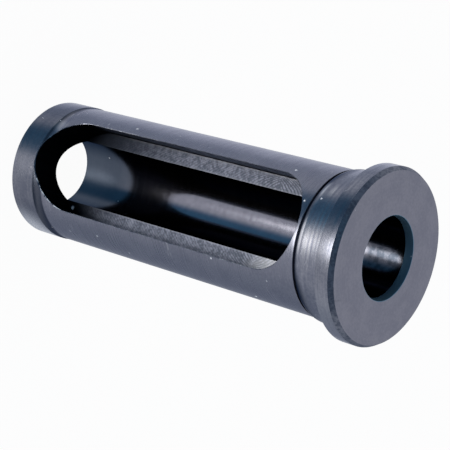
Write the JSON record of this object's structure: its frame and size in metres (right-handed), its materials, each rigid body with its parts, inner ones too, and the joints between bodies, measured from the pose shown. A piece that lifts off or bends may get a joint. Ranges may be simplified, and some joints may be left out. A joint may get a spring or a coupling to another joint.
{
  "type": "tool holder bushing",
  "caption": "Straight steel bushing with a flared head, a through bore for a tool shank and a long milled window for clamping screws.",
  "frame": {"origin": "centre of the rear face, at the end of the bore's axis, with the bushing standing on that face", "axes": "+Z along the bore's axis from the rear face to the head, -Y out of the window"},
  "size_m": [0.0448, 0.0448, 0.115],
  "materials": {
    "black_oxide_steel": "satin black oxide, brushed on the lands and milled in the window"
  },
  "bodies": {
    "root": {"bushing": "black_oxide_steel"}
  },
  "joints": []
}
